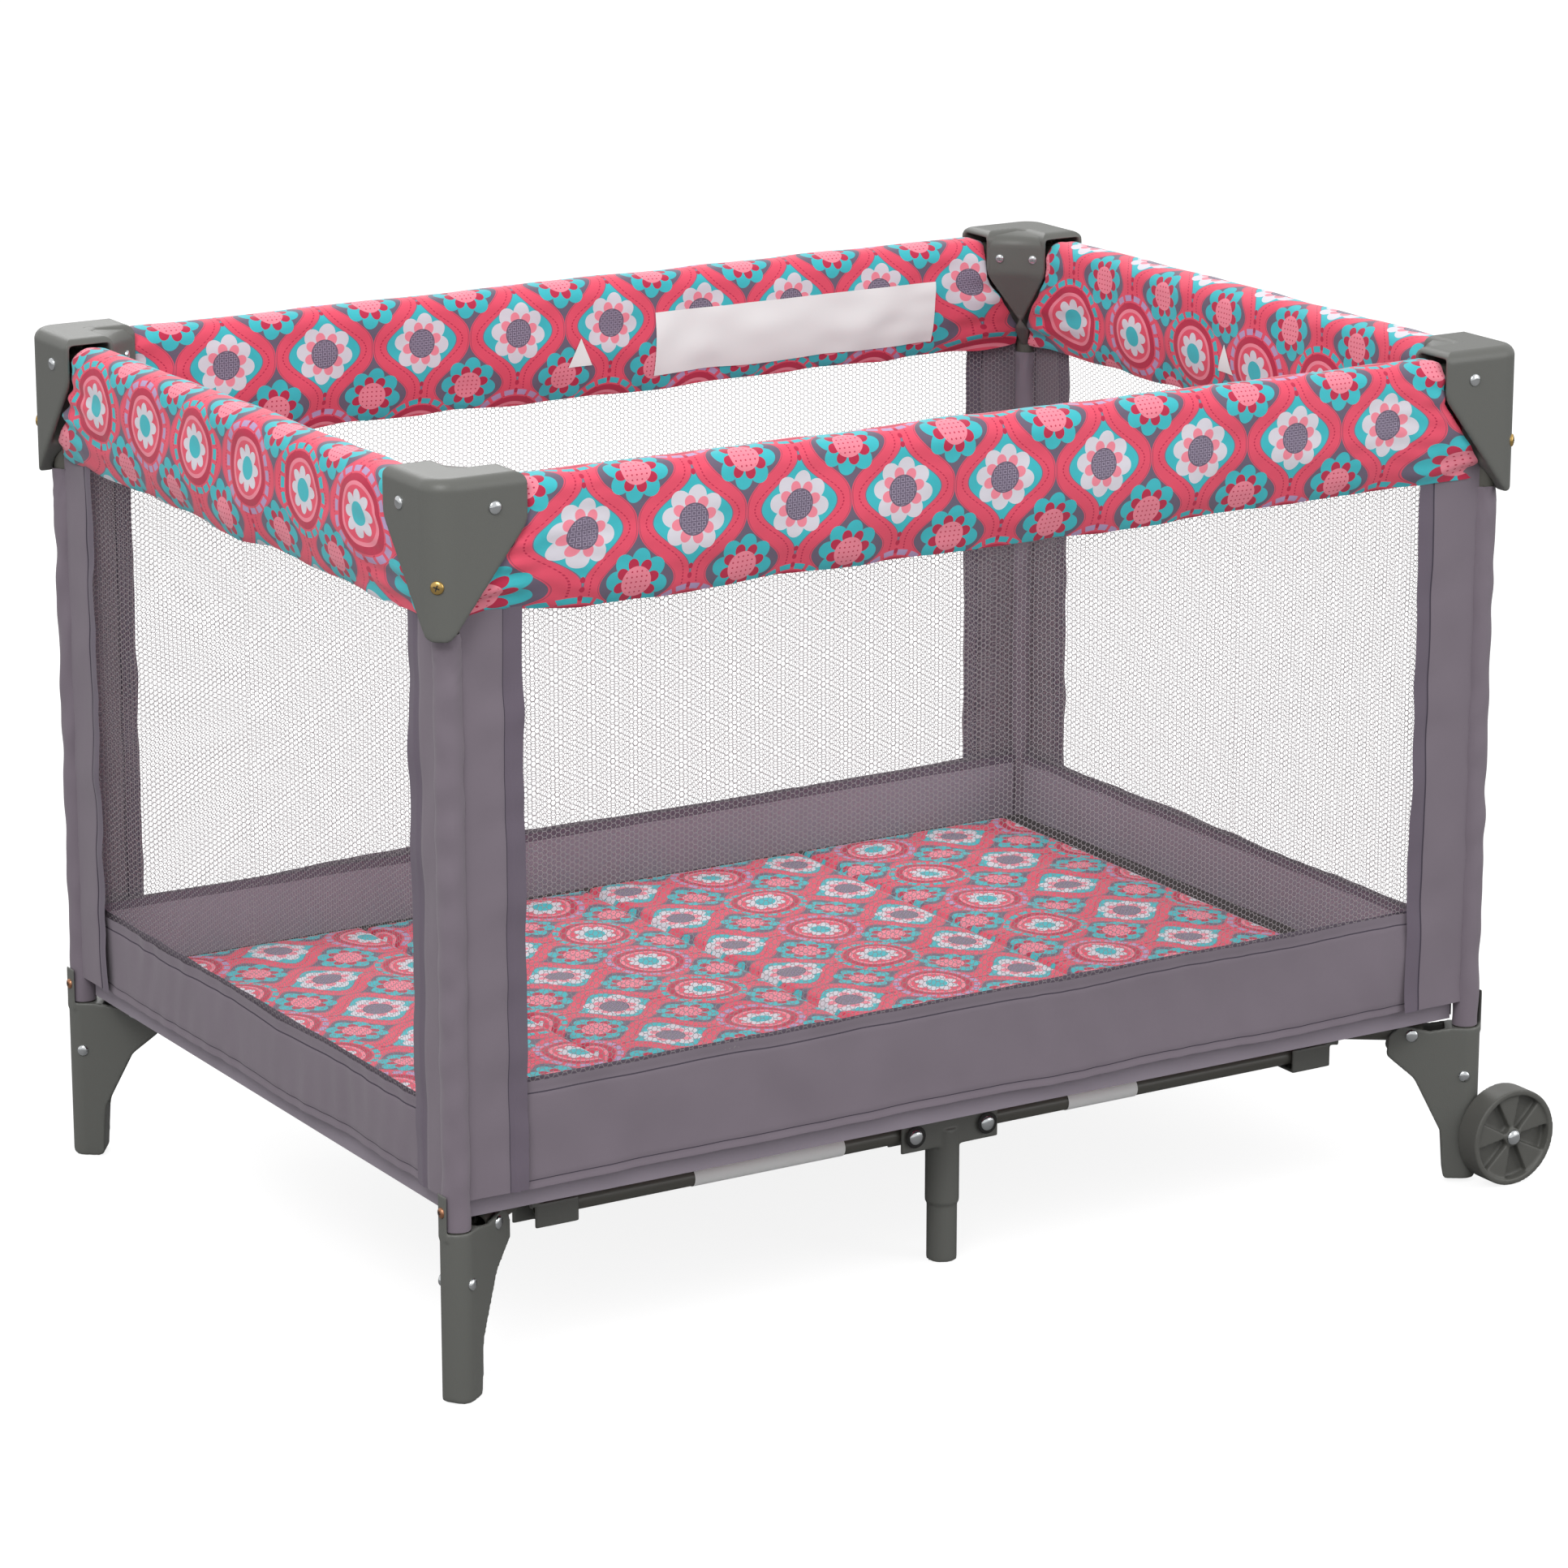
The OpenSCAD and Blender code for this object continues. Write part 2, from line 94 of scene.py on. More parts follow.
CORNERS = {"fl": (-1, -1), "fr": (1, -1), "bl": (-1, 1), "br": (1, 1)}
FACE = 0.022   # from a post's axis to its bracket's outer faces
ARM = 0.058    # length of a bracket's arms
TOP_R = 0.0095  # rounding of a bracket's top edges


def middle(node):
    low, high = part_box(node)
    return (low + high) / 2


POST = {c: middle("post_" + c) for c in CORNERS}
HALF_X = (POST["fr"].x - POST["fl"].x) / 2
HALF_Y = (POST["bl"].y - POST["fl"].y) / 2
CENTRE_X = (POST["fr"].x + POST["fl"].x) / 2
DIAG = math.hypot(HALF_X, HALF_Y)
BRACKET_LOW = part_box("bracket_fl")[0].z
BRACKET_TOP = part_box("bracket_fl")[1].z
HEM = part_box("rail_cover_front")[0].z
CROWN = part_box("rail_cover_front")[1].z
RAIL_Z = middle("rail_front_left").z
SKIRT_LOW = 0.160  # lower edge of the fabric walls
SKIRT_TOPS = {"front": 0.246, "back": 0.222, "left": 0.226, "right": 0.222}


class Side:
    """One side of the yard: t runs along it from its middle, n points outward."""

    def __init__(self, name, origin, along, out, half, corners, rails, cover, pivot):
        self.name, self.half, self.corners = name, half, corners
        self.o, self.t, self.n = (np.array(v, float) for v in (origin, along, out))
        self.rails, self.reach, self.pivot = rails, cover, pivot

    def at(self, t, n, z):
        t, n, z = np.broadcast_arrays(t, n, z)
        p = self.o + t[..., None] * self.t + n[..., None] * self.n
        p[..., 2] = z
        return p


def cover_reach(name, axis):
    low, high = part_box("rail_cover_" + name)
    return (high[axis] - low[axis]) / 2


LONG_REACH = cover_reach("front", 0)
SHORT_REACH = cover_reach("left", 1)
SIDES = {
    "front": Side("front", (CENTRE_X, -HALF_Y, 0), (1, 0, 0), (0, -1, 0), HALF_X,
                  ("fl", "fr"), ("front_left", "front_right"), LONG_REACH, 0.0574),
    "back": Side("back", (CENTRE_X, HALF_Y, 0), (1, 0, 0), (0, 1, 0), HALF_X,
                 ("bl", "br"), ("back_left", "back_right"), LONG_REACH, 0.0574),
    "left": Side("left", (CENTRE_X - HALF_X, 0, 0), (0, 1, 0), (-1, 0, 0), HALF_Y,
                 ("fl", "bl"), ("left_front", "left_back"), SHORT_REACH, 0.031),
    "right": Side("right", (CENTRE_X + HALF_X, 0, 0), (0, 1, 0), (1, 0, 0), HALF_Y,
                  ("fr", "br"), ("right_front", "right_back"), SHORT_REACH, 0.031),
}


def arm_reach(z):
    """How far a bracket's slanted arms run from the post's axis at height z"""
    return -0.007 + (z - BRACKET_LOW) * 65 / 84


# ---- Material helpers ----


def srgb(code):
    parts = [int(code[i:i + 2], 16) / 255 for i in (1, 3, 5)]
    return tuple(c / 12.92 if c < 0.04045 else ((c + 0.055) / 1.055) ** 2.4 for c in parts) + (1.0,)


PLASTIC, FABRIC, CORAL, PINK, RED = "#62635f", "#7b717b", "#e8506a", "#f48a9c", "#c0264a"
TEAL, WHITE, LAVENDER, PURPLE = "#3dbcc6", "#dcd8e1", "#b79cc4", "#6b6074"


class Val:
    """A number in a node tree, with arithmetic."""

    def __init__(self, tree, socket):
        self.tree, self.socket = tree, socket

    def __add__(self, o):
        return maths("ADD", self, o)

    def __sub__(self, o):
        return maths("SUBTRACT", self, o)

    def __rsub__(self, o):
        return maths("SUBTRACT", o, self)

    def __mul__(self, o):
        return maths("MULTIPLY", self, o)

    def __truediv__(self, o):
        return maths("DIVIDE", self, o)

    def __lt__(self, o):
        return maths("LESS_THAN", self, o)

    def __gt__(self, o):
        return maths("GREATER_THAN", self, o)


def maths(kind, *args):
    tree = next(a.tree for a in args if isinstance(a, Val))
    node = tree.nodes.new("ShaderNodeMath")
    node.operation = kind
    for i, a in enumerate(args):
        if isinstance(a, Val):
            tree.links.new(a.socket, node.inputs[i])
        else:
            node.inputs[i].default_value = a
    return Val(tree, node.outputs[0])


def mod(a, b):
    return maths("FLOORED_MODULO", a, b)


def mag(a):
    return maths("ABSOLUTE", a)


def biggest(a, b):
    return maths("MAXIMUM", a, b)


def length(a, b):
    return maths("SQRT", a * a + b * b)


def centred(a, period):
    """a less the nearest whole number of periods"""
    return mod(a + period / 2, period) - period / 2


class Paint:
    """Layers of colour on a material, each laid on where its mask is 1."""

    def __init__(self, tree, base):
        self.tree = tree
        node = tree.nodes.new("ShaderNodeRGB")
        node.outputs[0].default_value = srgb(base)
        self.socket = node.outputs[0]

    def lay(self, code, mask):
        node = self.tree.nodes.new("ShaderNodeMix")
        node.data_type = "RGBA"
        self.tree.links.new(mask.socket, node.inputs[0])
        self.tree.links.new(self.socket, node.inputs[6])
        if isinstance(code, str):
            node.inputs[7].default_value = srgb(code)
        else:
            self.tree.links.new(code.socket, node.inputs[7])
        self.socket = node.outputs[2]


def material(name, colour, rough, metal=0.0, sheen=0.0, bump=None, spec=0.5):
    """bump is the noise's scale and detail, then the bump's strength and depth in metres"""
    m = bpy.data.materials.new(name)
    m.use_nodes = True
    tree = m.node_tree
    shader = next(n for n in tree.nodes if n.type == "BSDF_PRINCIPLED")
    shader.inputs["Base Color"].default_value = srgb(colour)
    shader.inputs["Roughness"].default_value = rough
    shader.inputs["Metallic"].default_value = metal
    shader.inputs["Sheen Weight"].default_value = sheen
    shader.inputs["Specular IOR Level"].default_value = spec
    if bump:
        noise_bump(tree, shader, *bump)
    return m, tree, shader


def noise_bump(tree, shader, scale, detail, strength, depth):
    coords = tree.nodes.new("ShaderNodeTexCoord")
    noise = tree.nodes.new("ShaderNodeTexNoise")
    noise.inputs["Scale"].default_value = scale
    noise.inputs["Detail"].default_value = detail
    tree.links.new(coords.outputs["Object"], noise.inputs["Vector"])
    node = tree.nodes.new("ShaderNodeBump")
    node.inputs["Strength"].default_value = strength
    node.inputs["Distance"].default_value = depth
    tree.links.new(noise.outputs[0], node.inputs["Height"])
    tree.links.new(node.outputs[0], shader.inputs["Normal"])


def uv_values(tree):
    coords = tree.nodes.new("ShaderNodeUVMap")
    coords.uv_map = "UVMap"
    split = tree.nodes.new("ShaderNodeSeparateXYZ")
    tree.links.new(coords.outputs[0], split.inputs[0])
    return Val(tree, split.outputs[0]), Val(tree, split.outputs[1])


GRAIN = (900, 3, 0.25, 0.0004)
plastic = material("plastic", PLASTIC, 0.42, bump=GRAIN)[0]
wheel_mat = material("wheel_plastic", "#585854", 0.5, bump=GRAIN)[0]
hub_mat = material("hub_plastic", "#4a4b48", 0.5)[0]
steel = material("painted_steel", "#56554f", 0.35)[0]
chrome = material("chrome", "#d5d8da", 0.16, metal=1.0)[0]
brass = material("brass", "#c9a765", 0.25, metal=1.0)[0]
copper = material("copper", "#b98566", 0.3, metal=1.0)[0]
# Near-black paint for the shade inside recesses: the cross slots of the screw heads and the rings round the mid
# feet's rivets are painted shade, not a colour of the parts.
dark_gap = material("dark_gap", "#2c2c2b", 0.8)[0]
label = material("label", "#f4f4f4", 0.7)[0]
floor_cloth = material("floor_cloth", "#433e3f", 0.9, sheen=0.1)[0]
webbing = material("webbing", "#3a3839", 0.85)[0]


def cloth(name, colour):
    """Plain cloth with soft wrinkles"""
    return material(name, colour, 0.78, sheen=0.15, bump=(14, 4, 0.25, 0.006), spec=0.3)[0]


wall_cloth = cloth("wall_cloth", FABRIC)
lining_cloth = cloth("lining_cloth", "#8f8691")
binding_cloth = cloth("binding_cloth", "#6a606d")
stitch_mat = material("stitch", "#453e4a", 0.9)[0]


def net_material(name, colour, pitch, thread):
    """See-through knitted mesh of six-sided holes."""
    m, tree, shader = material(name, colour, 0.8, spec=0.2)
    v, u = uv_values(tree)
    tall = pitch * math.sqrt(3)
    cells = []
    for move in (0.0, 0.5):
        x = centred(u + move * pitch, pitch)
        y = centred(v + move * tall, tall)
        cells.append((x, y, x * x + y * y))
    nearer = cells[0][2] < cells[1][2]
    x = cells[0][0] * nearer + cells[1][0] * (1 - nearer)
    y = cells[0][1] * nearer + cells[1][1] * (1 - nearer)
    edge = biggest(mag(x), mag(x) * 0.5 + mag(y) * (math.sqrt(3) / 2))
    solid = edge > (pitch - thread) / 2
    tree.links.new(solid.socket, shader.inputs["Alpha"])
    return m


net = net_material("net", "#9a9396", 0.0046, 0.0005)


# ---- The printed fabric ----
PITCH = 0.0930    # between flowers along a row
ROW = 0.0435      # between rows


def petals(radius, angle, turn, reach, long, wide, count=8):
    sector = 2 * math.pi / count
    a = centred(angle + turn * sector, sector)
    x = (radius * maths("COSINE", a) - reach) / long
    y = radius * maths("SINE", a) / wide
    return (x * x + y * y) < 1.0


def flower(paint, x, y, inside, petal, small, disc):
    radius, angle = length(x, y), maths("ARCTAN2", y, x)
    paint.lay(petal, petals(radius, angle, 0.2, 0.0172, 0.0092, 0.0078) * inside)
    paint.lay(petal, (radius < 0.016) * inside)
    paint.lay(small, petals(radius, angle, 0.7, 0.0138, 0.0052, 0.0044) * inside)
    paint.lay(disc, (radius < 0.0125) * inside)


def print_material(name):
    m, tree, shader = material(name, CORAL, 0.72, sheen=0.2, spec=0.3)
    u, v = uv_values(tree)
    paint = Paint(tree, CORAL)
    xa, ya = centred(u, PITCH), centred(v, 2 * ROW)
    xb, yb = centred(u + PITCH / 2, PITCH), centred(v + ROW, 2 * ROW)
    swell = maths("COSINE", v * (math.pi / ROW)) * 0.5 + 0.5
    odd = mod(maths("FLOOR", v / (2 * ROW) + 0.5), 2.0)
    even = 1 - odd
    wide_a = mag(xa) - maths("POWER", swell, 1.4) * 0.0335
    wide_b = mag(xb) - maths("POWER", 1 - swell, 1.4) * 0.032
    # Line where two bands meet, and the dotted line along each band
    paint.lay("#c9566f", (mag(xb) < 0.0004) * (swell > 0.72))
    dots = mod(v, 0.0026) < 0.0015
    paint.lay(RED, (mag(wide_a - 0.0062) < 0.0006) * dots)
    # Purple cell, then teal cell
    paint.lay("#b94a62", mag(wide_b - 0.0012) < 0.00035)
    paint.lay(PURPLE, wide_b < 0.0)
    paint.lay("#7d6f86", (wide_a < 0.0009) * even)
    paint.lay(TEAL, (wide_a < 0.0) * even)
    # Dark dots where the points of the cells meet
    for step in (-0.0075, 0.0, 0.0075):
        y = centred(v + ROW + step, 2 * ROW)
        paint.lay(RED, length(xa, y * 0.8) < 0.0019)
    flower(paint, xa, ya, even, WHITE, PINK, PURPLE)
    # Small squares on the purple disc
    square = biggest(mag(centred(xa, 0.0042)), mag(centred(ya, 0.0042)))
    ring = (square > 0.0011) * (square < 0.0016)
    paint.lay("#a79bb0", ring * (length(xa, ya) < 0.0115) * even)
    flower(paint, xb, yb, 1.0, TEAL, RED, PINK)
    spot = length(centred(xb, 0.0042), centred(yb, 0.0042)) < 0.0007
    paint.lay(RED, spot * (length(xb, yb) < 0.0115))
    # Medallion
    radius, angle = length(xa, ya), maths("ARCTAN2", ya, xa)
    sector = 2 * math.pi / 18
    dash = mag(centred(angle, sector)) < sector * 0.36
    dash = dash * (radius > 0.0318) * (radius < 0.037) * odd
    every = mod(maths("FLOOR", u / PITCH + 0.5), 2.0)
    paint.lay(LAVENDER, dash * every)
    paint.lay(TEAL, dash * (1 - every))
    for size, code in ((0.0302, RED), (0.0246, PINK), (0.0215, CORAL)):
        paint.lay(code, (radius < size) * odd)
    paint.lay(WHITE, petals(radius, angle, 0.0, 0.0125, 0.0062, 0.0047) * odd)
    paint.lay(WHITE, (radius < 0.0125) * odd)
    paint.lay(TEAL, (radius < 0.0092) * odd)
    tree.links.new(paint.socket, shader.inputs["Base Color"])
    noise_bump(tree, shader, 22, 3, 0.3, 0.006)
    return m


printed = print_material("printed")


# ---- Mesh helpers ----


def waves(seed, a, b, scale, low=0.0, high=math.pi, count=9):
    """Smooth random ripples, about 1 high, whose crests are scale apart."""
    rng = np.random.default_rng(seed)
    total = 0.0
    for _ in range(count):
        turn, phase = rng.uniform(low, high), rng.uniform(0, 2 * math.pi)
        k = 2 * math.pi / scale * rng.uniform(0.6, 1.6)
        total = total + np.sin(k * (a * math.cos(turn) + b * math.sin(turn)) + phase)
    return total / math.sqrt(count)


def piece(name, verts, faces, mats, uvs=None, smooth=True, which=None):
    mesh = bpy.data.meshes.new(name)
    mesh.from_pydata([tuple(map(float, v)) for v in verts], [], faces)
    for m in mats:
        mesh.materials.append(m)
    if uvs is not None:
        layer = mesh.uv_layers.new(name="UVMap")
        loops = np.zeros(len(mesh.loops), np.int64)
        mesh.loops.foreach_get("vertex_index", loops)
        layer.data.foreach_set("uv", np.asarray(uvs, np.float32)[loops].ravel())
    mesh.polygons.foreach_set("use_smooth", [smooth] * len(mesh.polygons))
    if which is not None:
        mesh.polygons.foreach_set("material_index", which)
    mesh.update()
    obj = bpy.data.objects.new(name, mesh)
    bpy.context.scene.collection.objects.link(obj)
    return obj


def sheet_mesh(name, points, uv, mats, which=None):
    """Surface through a grid of points, with its own coordinates in metres."""
    rows, cols = points.shape[:2]
    ids = np.arange(rows * cols).reshape(rows, cols)
    faces = np.stack([ids[:-1, :-1], ids[:-1, 1:], ids[1:, 1:], ids[1:, :-1]], -1).reshape(-1, 4)
    return piece(name, points.reshape(-1, 3), faces.tolist(), mats, uv.reshape(-1, 2), which=which)


def grid(a0, a1, na, b0, b1, nb):
    return np.meshgrid(np.linspace(a0, a1, na), np.linspace(b0, b1, nb), indexing="ij")


def smoothstep(x, a, b):
    t = np.clip((x - a) / (b - a), 0, 1)
    return t * t * (3 - 2 * t)


def turned(name, rings, centre, axis, mat, steps=24):
    """Round solid: rings are (radius, distance along the axis)."""
    axis = Vector(axis).normalized()
    turn = axis.to_track_quat("Z", "Y").to_matrix()
    verts, faces = [], []
    for r, h in rings:
        for i in range(steps):
            a = 2 * math.pi * i / steps
            verts.append(Vector(centre) + turn @ Vector((r * math.cos(a), r * math.sin(a), h)))
    for k in range(len(rings) - 1):
        for i in range(steps):
            j = (i + 1) % steps
            faces.append((k * steps + i, k * steps + j, (k + 1) * steps + j, (k + 1) * steps + i))
    faces.append(tuple(range((len(rings) - 1) * steps, len(rings) * steps)))
    return piece(name, verts, faces, [mat])


def joined(name, objs):
    bpy.ops.object.select_all(action="DESELECT")
    for o in objs:
        o.select_set(True)
    bpy.context.view_layer.objects.active = objs[0]
    if len(objs) > 1:
        bpy.ops.object.join()
    objs[0].name = name
    return objs[0]


def moulded(node, mat, voxel=0.0014, smooth=6, shape=None):
    """A CAD node's solid with its edges rounded off as moulded plastic; it stands for the node."""
    source = frame["nodes"][node]
    mesh = source.data.copy()
    obj = bpy.data.objects.new(node + "_moulded", mesh)
    bpy.context.scene.collection.objects.link(obj)
    remesh = obj.modifiers.new("remesh", "REMESH")
    remesh.mode, remesh.voxel_size = "VOXEL", voxel
    relax = obj.modifiers.new("relax", "SMOOTH")
    relax.factor, relax.iterations = 0.5, smooth
    bpy.context.view_layer.update()
    ready = obj.evaluated_get(bpy.context.evaluated_depsgraph_get())
    final = bpy.data.meshes.new_from_object(ready)
    obj.modifiers.clear()
    obj.data = final
    if shape:
        co = np.zeros(len(final.vertices) * 3)
        final.vertices.foreach_get("co", co)
        final.vertices.foreach_set("co", shape(co.reshape(-1, 3)).ravel())
    final.materials.clear()
    final.materials.append(mat)
    final.polygons.foreach_set("use_smooth", [True] * len(final.polygons))
    final.update()
    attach(obj, source["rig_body"])
    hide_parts(node)


# ---- Plastic and metal ----


def corner_point(c, x, y, z):
    sx, sy = CORNERS[c]
    return Vector((POST[c].x - sx * x, POST[c].y - sy * y, z))


def corner_turn(c, x, y):
    sx, sy = CORNERS[c]
    return Vector((-sx * x, -sy * y, 0.0))


def along_diagonal(c, d, e, z):
    ux, uy = HALF_X / DIAG, HALF_Y / DIAG
    return corner_point(c, d * ux - e * uy, d * uy + e * ux, z)


def across_diagonal(c):
    return corner_turn(c, -HALF_Y / DIAG, HALF_X / DIAG)


def bracket_shape(c):
    """Rounds off the top edges of a corner bracket by TOP_R."""
    def shape(co):
        sx, sy = CORNERS[c]
        x, y, z = (POST[c].x - co[:, 0]) * sx, (POST[c].y - co[:, 1]) * sy, co[:, 2]
        up = np.clip(z - (BRACKET_TOP - TOP_R), 0, TOP_R)
        allowed = TOP_R - np.sqrt(TOP_R ** 2 - up ** 2)
        arm = ARM - allowed
        x, y = np.minimum(x, arm), np.minimum(y, arm)
        along_x, along_y = np.clip(x, 0, None), np.clip(y, 0, None)
        off_x = np.hypot(x - along_x, y)
        off_y = np.hypot(x, y - along_y)
        first = off_x < off_y
        qx, qy = np.where(first, along_x, 0), np.where(first, 0, along_y)
        off = np.maximum(np.where(first, off_x, off_y), 1e-6)
        keep = np.minimum(1, (FACE - allowed) / off)
        keep = np.where(z > BRACKET_TOP - TOP_R, keep, 1)
        co[:, 0] = POST[c].x - sx * (qx + (x - qx) * keep)
        co[:, 1] = POST[c].y - sy * (qy + (y - qy) * keep)
        return co
    return shape


def rivet(place, out, r=0.0052, h=0.0023):
    rings = [(r, -0.001), (r, h * 0.3), (r * 0.88, h * 0.62), (r * 0.62, h * 0.87), (r * 0.3, h)]
    return turned("rivet", rings, place, out, chrome)


def cross_screw(place, out, r, mat):
    rings = [(r, -0.001), (r, 0.0006), (r * 0.85, 0.0014), (r * 0.5, 0.0019), (r * 0.2, 0.0020)]
    head = turned("screw", rings, place, out, mat)
    out = Vector(out).normalized()
    side = out.orthogonal().normalized()
    # Two crossed dark quads painted on the head stand in for the shade inside its cross slot.
    for turn in (0.6, 0.6 + math.pi / 2):
        d = Matrix.Rotation(turn, 3, out) @ side
        e = out.cross(d)
        top = Vector(place) + out * 0.00215
        quad = [top + d * a * r * 0.48 + e * b * r * 0.09 for a, b in ((-1, -1), (1, -1), (1, 1), (-1, 1))]
        painted_slot_shade = piece("slot", quad, [(0, 1, 2, 3)], [dark_gap], smooth=False)
        head = joined("screw", [head, painted_slot_shade])
    return head


def web_point(s, z):
    """Plan place on the inner web of a bracket, s from -1 to 1 between its arms"""
    reach = np.clip(arm_reach(z), 0.0, ARM) - 0.0015
    far = np.maximum(reach, FACE)
    bend = FACE + 0.30 * (far - FACE)
    share = (s + 1) / 2
    a, b, m = (1 - share) ** 2, share ** 2, 2 * share * (1 - share)
    side_in = np.where(reach > FACE, FACE - 0.0005, np.maximum(reach, 0.012))
    x = a * far + m * bend + b * side_in
    y = a * side_in + m * bend + b * far
    narrow = np.clip((z - BRACKET_LOW) / 0.03, 0.35, 1)
    return x * narrow, y * narrow


def make_web(c):
    """Smooth web that closes the inner angle between a bracket's arms"""
    S, Z = grid(-1, 1, 25, BRACKET_LOW + 0.012, BRACKET_TOP - 0.0035, 40)
    x, y = web_point(S, Z)
    lip = np.clip((Z - (BRACKET_TOP - 0.012)) / 0.0085, 0, 1) ** 2 * 0.004
    x, y = x - lip, y - lip
    sx, sy = CORNERS[c]
    plan = np.stack([POST[c].x - sx * x, POST[c].y - sy * y], -1)
    face = np.concatenate([plan, Z[..., None]], -1)
    over = 0.55 * plan + 0.45 * np.array([POST[c].x, POST[c].y])
    top = np.concatenate([over[:, -1], np.full((len(S), 1), BRACKET_TOP - 0.0012)], -1)[:, None]
    points = np.concatenate([face, top], 1)
    obj = sheet_mesh("bracket_web_" + c, points, points[..., :2], [plastic])
    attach(obj, "corner_" + c)


def make_fasteners(c):
    """Heads of one corner's rivets and screws, and the wheel's axle cap"""
    sx, sy = CORNERS[c]
    rail_in = 0.030  # from the post's axis to the rivets of the rails
    face = POST["fl"].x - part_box("bracket_fl")[0].x
    made = [rivet(corner_point(c, rail_in, -face, RAIL_Z), corner_turn(c, 0, -1)),
            rivet(corner_point(c, -face, rail_in, RAIL_Z), corner_turn(c, -1, 0))]
    for s in (-0.62, 0.62):
        x, y = web_point(s, np.array(RAIL_Z))
        made.append(rivet(corner_point(c, float(x), float(y), RAIL_Z), corner_turn(c, 1, 1), 0.0040, 0.0018))
    d = face / math.sqrt(2)
    made.append(cross_screw(corner_point(c, -d, -d, BRACKET_TOP - 0.08), corner_turn(c, -1, -1), 0.0052, brass))
    leg = 0.013  # from the middle of a leg to its faces
    for e in (-1, 1):
        out = across_diagonal(c) * e
        made.append(rivet(along_diagonal(c, 0, e * leg, 0.095), out, 0.0048))
        made.append(rivet(along_diagonal(c, 0.045, e * leg, middle("floor_tube_" + c).z), out, 0.0055))
    made.append(cross_screw(corner_point(c, -leg, 0, 0.153), corner_turn(c, -1, 0), 0.0042, copper))
    if sx > 0:
        wheel = middle("wheel_" + c)
        low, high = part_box("wheel_" + c)
        outer = low.y if sy < 0 else high.y
        rings = [(0.0045, -0.03), (0.0045, -0.001), (0.007, -0.001), (0.007, 0.001), (0.0062, 0.0028),
                 (0.004, 0.004), (0.0015, 0.0044)]
        made.append(turned("cap", rings, (wheel.x, outer - sy * 0.002, wheel.z), (0, sy, 0), chrome))
    obj = joined("fasteners_" + c + "_heads", made)
    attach(obj, "corner_" + c)
    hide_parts("fasteners_" + c)


for c in CORNERS:
    moulded("bracket_" + c, plastic, 0.0014, 10, bracket_shape(c))
    make_web(c)
    moulded("leg_" + c, plastic, 0.0012, 4)
    moulded("saddle_" + c, plastic, 0.0012, 3)
    make_fasteners(c)
for end in ("front", "back"):
    moulded("mid_foot_" + end, plastic, 0.0012, 4)
moulded("floor_hub", hub_mat, 0.0016, 3)
for c in ("fr", "br"):
    moulded("wheel_" + c, wheel_mat, 0.0011, 3)

for name, node in frame["nodes"].items():
    kind = name.rsplit("_", 1)[0] if name[-3:] in ("_fl", "_fr", "_bl", "_br") else name
    if kind.startswith(("post", "rail_", "floor_tube", "side_bar")) and "cover" not in kind:
        look = steel
    elif kind.startswith("latch_button"):
        look = chrome
    elif kind.startswith("pull_strap"):
        look = webbing
    else:
        look = plastic
    node.data.materials.clear()
    node.data.materials.append(look)


# ---- Rail covers ----
COVER_N = 0.0188  # half of a cover's thickness
# Where a flower's middle lies on each cover: along the rail, and its height
PHASE = {"front": (-0.004, 0.669), "back": (0.0308, 0.678), "left": (0.0433, 0.676),
         "right": (0.0472, 0.651)}
INNER_PRINT = ("back", "right")  # sides whose print is placed on the inner face


def edge_reach(z, half, reach):
    """How far a cover runs from mid rail at height z: it follows the bracket's slanted edge."""
    gap = arm_reach(z) + 0.0015
    return half - np.clip(gap, 0.0145, half - reach - 0.004)


def section(count=84):
    """Outline of a cover from the outer hem over the crown to the inner hem: n, z, run."""
    crown_z = HEM + 0.082
    z = np.linspace(HEM, crown_z, 25)
    n = 0.0055 + (COVER_N - 0.0055) * np.sin(np.clip((z - HEM) / 0.052, 0, 1) * math.pi / 2) ** 0.75
    turn = np.linspace(0, math.pi, 40)[1:-1]
    across = COVER_N * np.sign(np.cos(turn)) * np.abs(np.cos(turn)) ** 0.8
    n = np.concatenate([n, across, -n[::-1]])
    z = np.concatenate([z, crown_z + (CROWN - 0.0008 - crown_z) * np.sin(turn) ** 0.62, z[::-1]])
    run = np.concatenate([[0], np.cumsum(np.hypot(np.diff(n), np.diff(z)))])
    even = np.linspace(0, run[-1], count)
    return np.interp(even, run, n), np.interp(even, run, z), even


OUTLINE = section()


def cover_points(side, T, R, lift=0.0):
    """Places on a side's cover: T along the rail and R along the outline, both in metres."""
    n, z, run = OUTLINE
    N, Z = np.interp(R, run, n), np.interp(R, run, z)
    slope_n, slope_z = np.gradient(n, run), np.gradient(z, run)
    out_n, out_z = np.interp(R, run, slope_z), -np.interp(R, run, slope_n)
    reach, half = side.reach, side.half
    free = reach - 0.045
    far = np.clip((np.abs(T) - free) / (reach - free), 0, None)
    T = np.where(far > 0, np.sign(T) * (free + far * (edge_reach(Z, half, reach) - free)), T)
    seed = sum(map(ord, side.name))
    soft = 0.0012 * waves(seed, T, R, 0.12) + 0.0005 * waves(seed + 1, T, R, 0.045)
    pucker = np.exp(-(reach - np.abs(T)) / 0.05)
    soft = soft + 0.0010 * pucker * waves(seed + 2, T, R, 0.024, 1.2, 1.9)
    soft = soft + 0.0020 * np.exp(-(T / (side.pivot + 0.03)) ** 4)
    tuck = smoothstep(far, 0.86, 1.0)
    soft = soft * np.clip((CROWN - Z) / 0.012, 0.35, 1) - 0.0022 * tuck + lift
    N = N + out_n * soft
    Z = Z + out_z * soft + 0.0012 * waves(seed + 3, T, 0 * R, 0.17) * np.clip((0.66 - Z) / 0.04, 0, 1)
    return side.at(T, N, Z)


